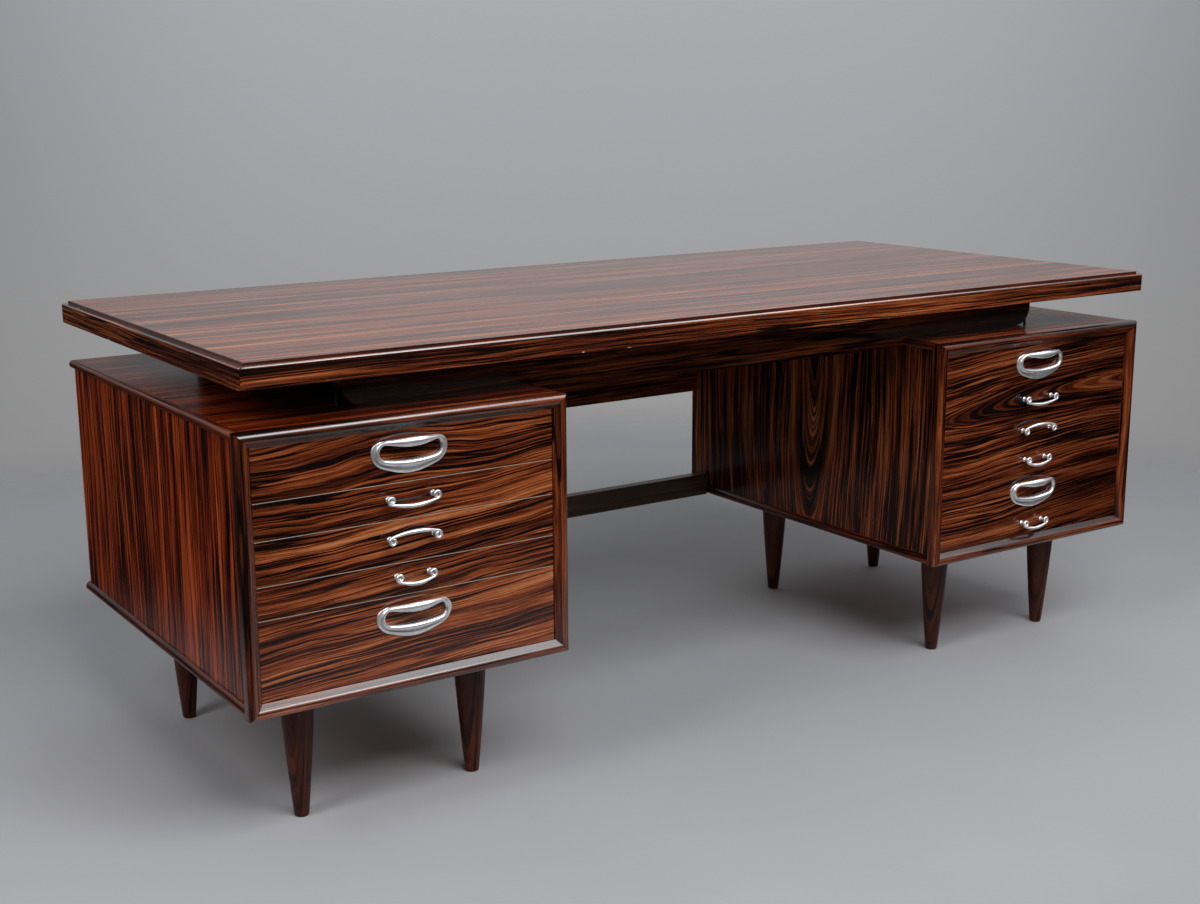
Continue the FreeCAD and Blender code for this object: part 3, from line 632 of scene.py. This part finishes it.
def turned_stack(name, place, direction, rings, sides=24):
    """A turned piece drawn out ring by ring.

    Each ring is a height along the direction and a radius, in millimetres."""
    start_fresh()
    rings = [(height * MM, radius * MM) for height, radius in rings]
    heading = Vector((0, 0, 1)).rotation_difference(Vector(direction)).to_euler()
    first_height, first_radius = rings[0]
    foot = Vector(place) + Vector(direction) * first_height
    bpy.ops.mesh.primitive_circle_add(vertices=sides, radius=first_radius, fill_type="NGON",
                                      location=foot, rotation=heading)
    piece = settle()
    piece.name = name
    bpy.ops.object.mode_set(mode="EDIT")
    bpy.ops.mesh.select_all(action="SELECT")
    height, radius = first_height, first_radius
    for next_height, next_radius in rings[1:]:
        move = Vector(direction) * (next_height - height)
        bpy.ops.mesh.extrude_region_move(TRANSFORM_OT_translate={"value": move})
        scale = next_radius / radius
        centre = Vector(place) + Vector(direction) * next_height
        bpy.ops.transform.resize(value=(scale, scale, scale), center_override=centre)
        height, radius = next_height, next_radius
    bpy.ops.object.mode_set(mode="OBJECT")
    return piece


def screw_heads(reach):
    """Heads of the two screws behind the drawer front, for a pull centred on the origin."""
    thick = span("left_drawer_1_front").y
    rings = [(0, 3.9), (0.9, 4.0), (2.2, 3.3), (3.0, 1.9), (3.0, 1.2), (1.6, 1.0)]
    return [turned_stack("screw head", (side * reach, thick, 0), (0, 1, 0), rings, sides=20)
            for side in (-1, 1)]


def give_copies(master, drawers, finish):
    """A copy of the finished pull on each drawer, in place of its CAD casting."""
    for drawer in drawers:
        select(master)
        bpy.ops.object.duplicate(linked=False)
        pull = bpy.context.object
        pull.name = f"{drawer}_cast_pull"
        node = f"{drawer}_pull"
        centre = middle(node)
        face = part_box(f"{drawer}_front")[0].y
        bpy.ops.transform.translate(value=(centre.x, face, pull_height(drawer)))
        settle()
        pull.data.materials.clear()
        pull.data.materials.append(finish)
        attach(pull, drawer)
        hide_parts(node)
    bpy.data.objects.remove(master)


def pull_height(drawer):
    """Height of a pull's screws, from the box of its casting."""
    low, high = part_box(f"{drawer}_pull")
    scroll = bpy.context.scene.desk_pulls.scroll_diameter / 2
    if drawer in RING_DRAWERS:
        return (low.z + high.z) / 2
    if drawer in RISING_BOW_DRAWERS:
        return low.z + scroll
    return high.z - scroll


def eased(share):
    """Runs smoothly from 0 to 1 with a share, which is held between them."""
    share = max(0.0, min(1.0, share))
    return share * share * (3 - 2 * share)


def drawn_tube(name, sides, place, heading, arcs, form):
    """A circle spun along arcs that run into each other, then moved and resized ring by ring.

    The form gives each ring's breadth, depth and move from its number and its outward angle."""
    start_fresh()
    # Every ring has this thickness until the form resizes it
    thick = 0.01
    way = Vector((-math.sin(heading), 0, math.cos(heading)))
    bpy.ops.mesh.primitive_circle_add(vertices=sides, radius=thick / 2, location=place,
                                      rotation=(0, math.atan2(way.x, way.z), 0))
    tube = settle()
    tube.name = name
    bpy.ops.object.mode_set(mode="EDIT")
    bpy.ops.mesh.select_all(action="SELECT")
    angles = [heading]
    for steps, turn, centre in arcs:
        bpy.ops.mesh.spin(steps=steps, angle=turn, center=centre, axis=(0, 1, 0))
        angles += [heading + turn * (number + 1) / steps for number in range(steps)]
        heading += turn
    for number, angle in enumerate(angles):
        first = number * sides
        here = pick(tube, lambda vertex: first <= vertex.index < first + sides)
        breadth, depth, move = form(number, angle)
        wide, deep = breadth / thick, depth / thick
        bpy.ops.transform.resize(value=(wide, deep, wide), center_override=here)
        bpy.ops.transform.translate(value=move)
    return tube


def step_count(arcs):
    return sum(steps for steps, turn, centre in arcs)


def mirrored(half):
    """Both halves of a pull, joined where they meet in the middle."""
    near_middle = 0.0002
    pick(half, lambda vertex: abs(vertex.co.x) < near_middle)
    bpy.ops.transform.resize(value=(0, 1, 1), center_override=(0, 0, 0))
    bpy.ops.object.mode_set(mode="OBJECT")
    mirror = half.modifiers.new("other half", "MIRROR")
    mirror.use_clip = True
    mirror.merge_threshold = 0.0001
    bpy.ops.object.modifier_apply(modifier=mirror.name)
    return half


class DESK_OT_ring_pulls(bpy.types.Operator):
    """Oval ring pulls: a bead and skirt that lie on the drawer and a swelling grip that stands off it"""
    bl_idname = "desk.ring_pulls"
    bl_label = "Model ring pulls"

    def execute(self, context):
        sizes = context.scene.desk_pulls
        half_width, half_height = sizes.ring_width / 2, sizes.ring_height / 2
        # Radii of the ring's centre line at the bottom, ends and top, and how far it runs inside the ends
        belly, corner, brow = 190 * MM, 15.5 * MM, 1200 * MM
        rim = 6.5 * MM
        foot = Vector((0, 0, 16.5 * MM - half_height))
        end = half_width - rim - corner
        swing = math.asin(end / (belly - corner))
        lean = math.asin(end / (brow - corner))
        middle_low = foot + Vector((0, 0, belly))
        middle_end = middle_low + Vector((math.sin(swing), 0, -math.cos(swing))) * (belly - corner)
        middle_high = middle_end - Vector((math.sin(lean), 0, math.cos(lean))) * (brow - corner)
        bend = math.pi - swing - lean
        bead_arcs = [(10, swing, middle_low), (16, bend, middle_end), (12, lean, middle_high)]
        skirt_arcs = [bead_arcs[0], (14, bend * 0.94, middle_end)]
        stand = sizes.ring_projection

        def bead(number, angle):
            """Lies on the drawer at the bottom, slims round the end and swells into the grip."""
            share = number / step_count(bead_arcs)
            along = max(0.0, (share - 0.65) / 0.35)
            grip = (eased(along) + along * (2 - along)) / 2
            breadth = 10.5 * MM - 3.3 * MM * eased(share / 0.45) + 8.0 * MM * grip
            depth = 9.4 * MM - 0.6 * MM * eased(share / 0.5) + 2.8 * MM * grip
            lift = 3.8 * MM + (stand - 5.8 * MM - 3.8 * MM) * eased((share - 0.50) / 0.42)
            return breadth, depth, Vector((0, -lift, -2.0 * MM * grip))

        def skirt(number, angle):
            """Stands out round the bead, broadest at the bottom, and runs into it up the end."""
            share = number / step_count(skirt_arcs)
            rise = eased((share - 0.74) / 0.26)
            slim = eased(share / 0.6)
            offset = 9.8 * MM - 4.8 * MM * slim - 3.4 * MM * rise
            breadth = 12.6 * MM - 4.2 * MM * slim - 4.8 * MM * rise
            depth = 4.6 * MM - 1.6 * MM * rise
            lift = 0.9 * MM + 3.4 * MM * rise
            move = Vector((math.cos(angle) * offset, -lift, math.sin(angle) * offset))
            return breadth, depth, move

        down = -math.pi / 2
        whole = mirrored(drawn_tube("bead", 18, foot, down, bead_arcs, bead))
        flange = drawn_tube("skirt", 16, foot, down, skirt_arcs, skirt)
        bpy.ops.mesh.edge_face_add()
        flange = mirrored(flange)
        ring = join([whole, flange], "ring pull")
        subdivide(ring, 1)
        # What would lie inside the drawer front is pressed flat against its face
        bpy.ops.object.mode_set(mode="EDIT")
        pick(ring, lambda vertex: vertex.co.y > 0)
        bpy.ops.transform.resize(value=(1, 0, 1), center_override=(0, 0, 0))
        bpy.ops.object.mode_set(mode="OBJECT")
        ring = join([ring] + screw_heads(half_width - rim), "ring pull")
        give_copies(ring, RING_DRAWERS, chrome())
        return {"FINISHED"}


class DESK_OT_bow_pulls(bpy.types.Operator):
    """Bow pulls: a bar that swells in the middle and curls into a scroll at each end"""
    bl_idname = "desk.bow_pulls"
    bl_label = "Model bow pulls"

    def bow(self, width):
        """A bow pull that rises, and how far its posts stand from the middle."""
        sizes = bpy.context.scene.desk_pulls
        wire = sizes.scroll_wire / 2
        eye = sizes.scroll_diameter / 2 - wire
        out, rise = sizes.bow_standoff, sizes.bow_rise
        spread = width / 2 - sizes.scroll_diameter / 2
        sweep = (spread * spread + rise * rise) / (2 * rise)
        centre = Vector((0, -out, rise - sweep))
        hub = Vector((-spread, -out, 0))
        away = (hub - centre).normalized()
        leave = math.atan2(away.z, away.x)
        curls, spans, sides = 26, 16, 18
        full = math.radians(330)
        arc = math.atan2(spread, sweep - rise)
        tip = leave + full
        place = hub + Vector((math.cos(tip), 0, math.sin(tip))) * eye

        def scroll_and_bar(number, angle):
            """Winds in towards the scroll's end and swells towards the middle of the bar."""
            if number <= curls:
                loose = 1 - eased(number / curls / 0.8)
                inward = Vector((-math.cos(angle), 0, -math.sin(angle))) * (eye * 0.42 * loose)
                return 2 * wire * (1 - 0.2 * loose), 2 * wire * (1 + 0.2 * loose), inward
            share = (number - curls) / spans
            swell = 2 * wire * (1 + 0.5 * eased(share * 1.3))
            return swell, swell, Vector((0, -sizes.bow_reach * eased(share), 0))

        bar = drawn_tube("bow", sides, place, tip, [(curls, -full, hub), (spans, -arc, centre)],
                         scroll_and_bar)
        # Rounded end of the scroll
        here = pick(bar, lambda vertex: vertex.index < sides)
        back = Vector((-math.sin(tip), 0, math.cos(tip)))
        for move, bulge in ((0.9 * MM, 1.1), (1.0 * MM, 0.8), (0.5 * MM, 0.5)):
            bpy.ops.mesh.extrude_region_move(TRANSFORM_OT_translate={"value": back * move})
            here += back * move
            bpy.ops.transform.resize(value=(bulge, bulge, bulge), center_override=here)
        bpy.ops.mesh.edge_face_add()
        mirrored(bar)
        rings = [(0, 5.0), (1.1, 5.1), (1.8, 4.4), (2.6, 3.5), (6.5, 3.1), (10.5, 3.4), (11.8, 3.7),
                 (12.2, 2.6)]
        posts = [turned_stack("post", (side * spread, 0, 0), (0, -1, 0), rings) for side in (-1, 1)]
        pull = join([bar] + posts, "bow pull")
        subdivide(pull, 1)
        return pull, spread

    def execute(self, context):
        sizes = context.scene.desk_pulls
        kinds = ((RISING_BOW_DRAWERS, sizes.bow_width, False), (HUNG_BOW_DRAWERS, sizes.bow_width, True),
                 (SHORT_BOW_DRAWERS, sizes.short_bow_width, True))
        for drawers, width, hung in kinds:
            pull, spread = self.bow(width)
            if hung:
                select(pull)
                bpy.ops.transform.rotate(value=math.pi, orient_axis="Y", center_override=(0, 0, 0))
                settle()
            pull = join([pull] + screw_heads(spread), "bow pull")
            give_copies(pull, drawers, chrome())
        return {"FINISHED"}


class DESK_OT_studio(bpy.types.Operator):
    """Camera, pale floor, soft lamps and the studio's grey surroundings"""
    bl_idname = "desk.studio"
    bl_label = "Set up studio"

    def add_camera(self, studio):
        data = bpy.data.cameras.new("photo camera")
        data.lens = studio.lens
        data.sensor_width = 36
        camera = bpy.data.objects.new("photo camera", data)
        bpy.context.scene.collection.objects.link(camera)
        forward = Vector((math.sin(studio.yaw) * math.cos(studio.pitch),
                          math.cos(studio.yaw) * math.cos(studio.pitch), math.sin(studio.pitch)))
        right = Vector((math.cos(studio.yaw), -math.sin(studio.yaw), 0))
        up = right.cross(forward)
        turn, level = math.sin(studio.roll), math.cos(studio.roll)
        side, head = right * level + up * turn, up * level - right * turn
        camera.matrix_world = Matrix.Translation(studio.camera_place) @ Matrix(
            (side, head, -forward)).transposed().to_4x4()
        bpy.context.scene.camera = camera

    def add_floor(self, studio):
        start_fresh()
        bpy.ops.mesh.primitive_circle_add(vertices=96, radius=1.0, fill_type="NGON")
        floor = settle()
        floor.name = "studio_floor"
        bpy.ops.object.mode_set(mode="EDIT")
        bpy.ops.mesh.select_all(action="SELECT")
        for ring in range(3):
            bpy.ops.mesh.extrude_edges_move(TRANSFORM_OT_translate={"value": (0, 0, 0)})
            bpy.ops.transform.resize(value=(2, 2, 1), center_override=(0, 0, 0))
        bpy.ops.object.mode_set(mode="OBJECT")
        material, shader, (x, y, z) = new_finish("studio floor", roughness=0.75, specular_ior_level=0.2)
        paper = x.noise((x * 3, y * 3, 0.0), detail=3)
        pale = tuple(studio.floor)
        deeper = tuple(part * 0.97 for part in pale)
        feed(shader, base_color=paper.step(0.3, 0.7).tint(deeper, pale))
        # The floor fades into the surroundings away from the desk, sooner in front and in reflections
        away = (x * x + y * y).root()
        mirrored_ray = x.node("ShaderNodeLightPath", "Is Glossy Ray")
        gone = away.step(1.75, 2.8).larger(away.step(1.0, 1.7) * mirrored_ray)
        gone = gone.larger(y.step(-1.9, -0.9, 1.0, 0.0))
        clear = x.node("ShaderNodeBsdfTransparent")
        paint = Strand(x.tree, shader.outputs[0])
        fade = x.node("ShaderNodeMixShader", 0, None, {0: gone, 1: paint, 2: clear})
        x.node("ShaderNodeOutputMaterial", None, {"is_active_output": True}, {0: fade})
        floor.data.materials.append(material)

    def add_lamp(self, name, power, place, target, size):
        data = bpy.data.lights.new(name, "AREA")
        data.shape = "RECTANGLE"
        data.size, data.size_y = size
        data.energy = power
        lamp = bpy.data.objects.new(name, data)
        bpy.context.scene.collection.objects.link(lamp)
        lamp.location = place
        lamp.rotation_euler = (Vector(target) - Vector(place)).to_track_quat("-Z", "Y").to_euler()

    def add_surroundings(self, studio):
        world = bpy.context.scene.world or bpy.data.worlds.new("studio")
        bpy.context.scene.world = world
        world.use_nodes = True
        tree = world.node_tree
        tree.nodes.clear()
        start = Strand(tree)
        path = start.node("ShaderNodeLightPath", "Is Camera Ray")
        reflected = path.outlet("Is Glossy Ray").larger(path.outlet("Is Transmission Ray"))
        seen = path.larger(reflected)
        ray = start.node("ShaderNodeTexCoord", "Generated")
        x = ray.node("ShaderNodeSeparateXYZ", 0, None, {0: ray})
        rise = x.outlet(2)
        wall = rise.step(-0.5, 0.5).ramp([
            (0.0, (0.36, 0.366, 0.382)), (0.16, (0.275, 0.276, 0.28)), (0.27, (0.32, 0.321, 0.325)),
            (0.37, (0.345, 0.347, 0.355)), (0.5, (0.372, 0.375, 0.39)), (0.75, (0.43, 0.435, 0.45))])
        # Behind the desk the wall darkens towards the corners. Reflections also see the room in front,
        # with its ceiling and a bright panel up on the right.
        ahead = x * math.sin(studio.yaw) + x.outlet(1) * math.cos(studio.yaw)
        low = rise.step(-0.25, 0.0, 0.85, 0.36)
        corners = low + (1.04 - low) * ahead.step(0.86, 1.0)
        panel = x.step(0.25, 0.55) * x.step(0.64, 0.78, 1.0, 0.0) * rise.step(0.4, 0.6)
        strip = panel * studio.strip
        room = rise.step(-0.02, 0.35, 0.03, studio.ceiling) + strip
        behind = ahead.step(0.70, 0.88).larger(1.0 - reflected)
        level = behind * corners + (1.0 - behind) * room
        shown = start.node("ShaderNodeBackground", 0, None, {"Color": wall, "Strength": level})
        glow = ahead.step(-0.1, 0.6) * rise.step(0.05, 0.4) * studio.backdrop + studio.ambient
        light = start.node("ShaderNodeBackground", 0, None,
                           {"Color": (1.0, 1.0, 1.0, 1.0), "Strength": glow})
        mixed = start.node("ShaderNodeMixShader", 0, None, {0: seen, 1: light, 2: shown})
        start.node("ShaderNodeOutputWorld", None, None, {0: mixed})

    def execute(self, context):
        studio = context.scene.desk_studio
        self.add_camera(studio)
        self.add_floor(studio)
        self.add_lamp("overhead softbox", studio.overhead, place=(-0.2, -2.9, 3.5),
                      target=(0, -0.2, 0.3), size=(3.4, 2.0))
        self.add_lamp("front softbox", studio.front, place=(1.2, -3.2, 2.4),
                      target=(0, -0.4, 0.3), size=(2.2, 1.4))
        self.add_lamp("left softbox", studio.side, place=(-3.2, -0.8, 2.6),
                      target=(-0.9, 0, 0.4), size=(1.2, 1.8))
        self.add_surroundings(studio)
        context.scene.view_settings.view_transform = "Standard"
        return {"FINISHED"}


class DESK_PT_panel(bpy.types.Panel):
    """Lists the steps that dress the desk"""
    bl_idname = "DESK_PT_panel"
    bl_label = "Double pedestal desk"
    bl_space_type = "VIEW_3D"
    bl_region_type = "UI"
    bl_category = "Desk"

    def draw(self, context):
        for step in STEPS:
            self.layout.operator(step.bl_idname)
        for group in (context.scene.desk_rosewood, context.scene.desk_pulls, context.scene.desk_studio):
            box = self.layout.box()
            for name in group.__annotations__:
                box.prop(group, name)


STEPS = (DESK_OT_desktop, DESK_OT_cases, DESK_OT_carriers, DESK_OT_legs, DESK_OT_drawers,
         DESK_OT_ring_pulls, DESK_OT_bow_pulls, DESK_OT_studio)
GROUPS = {"desk_rosewood": RosewoodSettings, "desk_pulls": PullSettings, "desk_studio": StudioSettings}


def register():
    for group in GROUPS.values():
        bpy.utils.register_class(group)
    for step in STEPS + (DESK_PT_panel,):
        bpy.utils.register_class(step)
    for name, group in GROUPS.items():
        setattr(bpy.types.Scene, name, bpy.props.PointerProperty(type=group))


def unregister():
    for name in GROUPS:
        delattr(bpy.types.Scene, name)
    for step in reversed(STEPS + (DESK_PT_panel,)):
        bpy.utils.unregister_class(step)
    for group in GROUPS.values():
        bpy.utils.unregister_class(group)


def main():
    register()
    bpy.ops.desk.desktop()
    bpy.ops.desk.cases()
    bpy.ops.desk.carriers()
    bpy.ops.desk.legs()
    bpy.ops.desk.drawers()
    bpy.ops.desk.ring_pulls()
    bpy.ops.desk.bow_pulls()
    bpy.ops.desk.studio()


if __name__ == "__main__":
    main()
